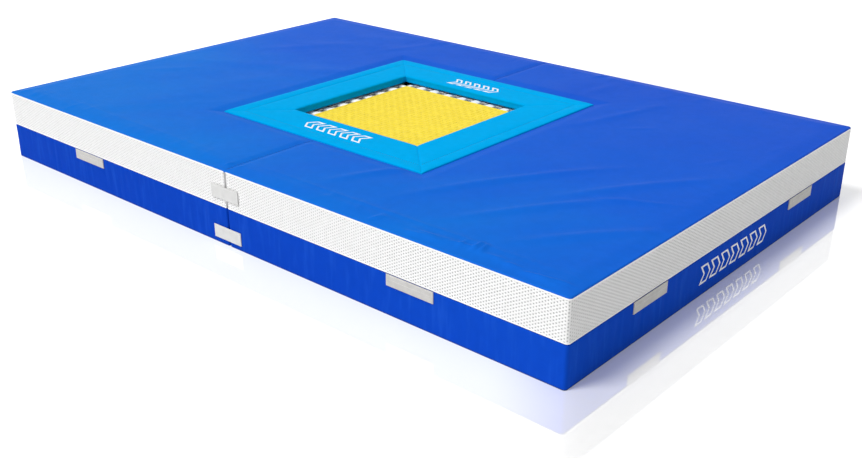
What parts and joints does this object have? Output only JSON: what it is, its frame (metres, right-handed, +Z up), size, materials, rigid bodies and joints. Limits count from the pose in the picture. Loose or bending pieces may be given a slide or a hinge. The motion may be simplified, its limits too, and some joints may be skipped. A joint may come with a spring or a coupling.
{
  "type": "springboard",
  "caption": "Low springboard with a square sprung bed and padded frame, standing in the well of a two-layer landing mat that parts into two halves.",
  "frame": {"origin": "on the floor, under the middle of the bed", "axes": "+X along the mat's long side, +Y along its short side, +Z up"},
  "size_m": [3.0064, 2.0064, 0.303],
  "materials": {
    "frame_paint": "satin",
    "hook_bar_steel": "satin",
    "foot_rubber": "matte",
    "bolt_steel": "satin",
    "bed_webbing": "matte",
    "hem_webbing": "matte",
    "loop_webbing": "matte",
    "ring_steel": "satin",
    "spring_steel": "satin",
    "guard_fabric": "matte",
    "pad_foam": "matte",
    "pad_pvc": "satin",
    "tie_webbing": "matte",
    "base_pvc": "matte",
    "mat_foam": "matte",
    "lower_pvc": "satin",
    "air_mesh": "matte",
    "top_pvc": "satin",
    "tab_webbing": "matte",
    "loop_tape": "matte"
  },
  "bodies": {
    "springboard_frame": {"rail_front": "frame_paint", "rail_left": "frame_paint", "rail_back": "frame_paint", "rail_right": "frame_paint", "leg_back_right": "frame_paint", "leg_back_left": "frame_paint", "leg_front_right": "frame_paint", "leg_front_left": "frame_paint", "lower_bars": "frame_paint", "corner_gussets": "frame_paint", "hook_bars": "hook_bar_steel", "rubber_feet": "foot_rubber", "leg_bolts": "bolt_steel"},
    "bed": {"bed_fabric": "bed_webbing", "bed_hem": "hem_webbing", "ring_loops": "loop_webbing", "bed_rings": "ring_steel", "spring_guard": "guard_fabric", "springs_front": "spring_steel", "springs_left": "spring_steel", "springs_back": "spring_steel", "springs_right": "spring_steel"},
    "frame_pad": {"pad_foam_front": "pad_foam", "pad_foam_left": "pad_foam", "pad_foam_back": "pad_foam", "pad_foam_right": "pad_foam", "pad_cover_front": "pad_pvc", "pad_cover_left": "pad_pvc", "pad_cover_back": "pad_pvc", "pad_cover_right": "pad_pvc", "pad_ties": "tie_webbing"},
    "left_lower_mat": {"left_lower_base": "base_pvc", "left_lower_foam": "mat_foam", "left_lower_cover": "lower_pvc", "left_lower_loop_patches": "loop_tape"},
    "right_lower_mat": {"right_lower_base": "base_pvc", "right_lower_foam": "mat_foam", "right_lower_cover": "lower_pvc", "right_lower_loop_patches": "loop_tape"},
    "left_upper_mat": {"left_upper_base": "base_pvc", "left_upper_foam": "mat_foam", "left_upper_mesh_band": "air_mesh", "left_upper_top_sheet": "top_pvc"},
    "right_upper_mat": {"right_upper_base": "base_pvc", "right_upper_foam": "mat_foam", "right_upper_mesh_band": "air_mesh", "right_upper_top_sheet": "top_pvc", "right_upper_loop_patches": "loop_tape"},
    "tab_front_left": {"tab_front_left": "tab_webbing"},
    "tab_back_left": {"tab_back_left": "tab_webbing"},
    "tab_left_front": {"tab_left_front": "tab_webbing"},
    "tab_left_back": {"tab_left_back": "tab_webbing"},
    "tab_front_right": {"tab_front_right": "tab_webbing"},
    "tab_back_right": {"tab_back_right": "tab_webbing"},
    "tab_right_front": {"tab_right_front": "tab_webbing"},
    "tab_right_back": {"tab_right_back": "tab_webbing"},
    "strap_upper_front": {"strap_upper_front": "tab_webbing"},
    "strap_lower_front": {"strap_lower_front": "tab_webbing"},
    "strap_upper_back": {"strap_upper_back": "tab_webbing"},
    "strap_lower_back": {"strap_lower_back": "tab_webbing"}
  },
  "joints": [
    {"name": "bed_press", "type": "slide", "parent": "springboard_frame", "child": "bed", "axis": [0, 0, -1], "range_m": [0, 0.12], "stiffness_N_per_m": 4000, "springref_m": -0.01, "deforming": ["springs_front", "springs_left", "springs_back", "springs_right"]},
    {"name": "pad_lift", "type": "slide", "parent": "springboard_frame", "child": "frame_pad", "axis": [0, 0, 1], "range_m": [0, 0.35]},
    {"name": "left_half_pull", "type": "slide", "parent": "springboard_frame", "child": "left_lower_mat", "axis": [-1, 0, 0], "range_m": [0, 0.7]},
    {"name": "left_upper_lift", "type": "slide", "parent": "left_lower_mat", "child": "left_upper_mat", "axis": [0, 0, 1], "range_m": [0, 0.25]},
    {"name": "right_half_pull", "type": "slide", "parent": "springboard_frame", "child": "right_lower_mat", "axis": [1, 0, 0], "range_m": [0, 0.7]},
    {"name": "right_upper_lift", "type": "slide", "parent": "right_lower_mat", "child": "right_upper_mat", "axis": [0, 0, 1], "range_m": [0, 0.25]},
    {"name": "tab_front_left_peel", "type": "hinge", "parent": "left_upper_mat", "child": "tab_front_left", "pos_m": [-0.9, -1.0022, 0.15], "axis": [-1, 0, 0], "range_deg": [0, 150]},
    {"name": "tab_back_left_peel", "type": "hinge", "parent": "left_upper_mat", "child": "tab_back_left", "pos_m": [-0.9, 1.0022, 0.15], "axis": [1, 0, 0], "range_deg": [0, 150]},
    {"name": "tab_left_front_peel", "type": "hinge", "parent": "left_upper_mat", "child": "tab_left_front", "pos_m": [-1.5022, -0.55, 0.15], "axis": [0, 1, 0], "range_deg": [0, 150]},
    {"name": "tab_left_back_peel", "type": "hinge", "parent": "left_upper_mat", "child": "tab_left_back", "pos_m": [-1.5022, 0.55, 0.15], "axis": [0, 1, 0], "range_deg": [0, 150]},
    {"name": "tab_front_right_peel", "type": "hinge", "parent": "right_upper_mat", "child": "tab_front_right", "pos_m": [0.9, -1.0022, 0.15], "axis": [-1, 0, 0], "range_deg": [0, 150]},
    {"name": "tab_back_right_peel", "type": "hinge", "parent": "right_upper_mat", "child": "tab_back_right", "pos_m": [0.9, 1.0022, 0.15], "axis": [1, 0, 0], "range_deg": [0, 150]},
    {"name": "tab_right_front_peel", "type": "hinge", "parent": "right_upper_mat", "child": "tab_right_front", "pos_m": [1.5022, -0.55, 0.15], "axis": [0, -1, 0], "range_deg": [0, 150]},
    {"name": "tab_right_back_peel", "type": "hinge", "parent": "right_upper_mat", "child": "tab_right_back", "pos_m": [1.5022, 0.55, 0.15], "axis": [0, -1, 0], "range_deg": [0, 150]},
    {"name": "strap_upper_front_peel", "type": "hinge", "parent": "left_upper_mat", "child": "strap_upper_front", "pos_m": [-0.079, -1.0022, 0.208], "axis": [0, 0, -1], "range_deg": [0, 150]},
    {"name": "strap_lower_front_peel", "type": "hinge", "parent": "left_lower_mat", "child": "strap_lower_front", "pos_m": [-0.079, -1.0022, 0.046], "axis": [0, 0, -1], "range_deg": [0, 150]},
    {"name": "strap_upper_back_peel", "type": "hinge", "parent": "left_upper_mat", "child": "strap_upper_back", "pos_m": [-0.079, 1.0022, 0.208], "axis": [0, 0, 1], "range_deg": [0, 150]},
    {"name": "strap_lower_back_peel", "type": "hinge", "parent": "left_lower_mat", "child": "strap_lower_back", "pos_m": [-0.079, 1.0022, 0.046], "axis": [0, 0, 1], "range_deg": [0, 150]}
  ]
}
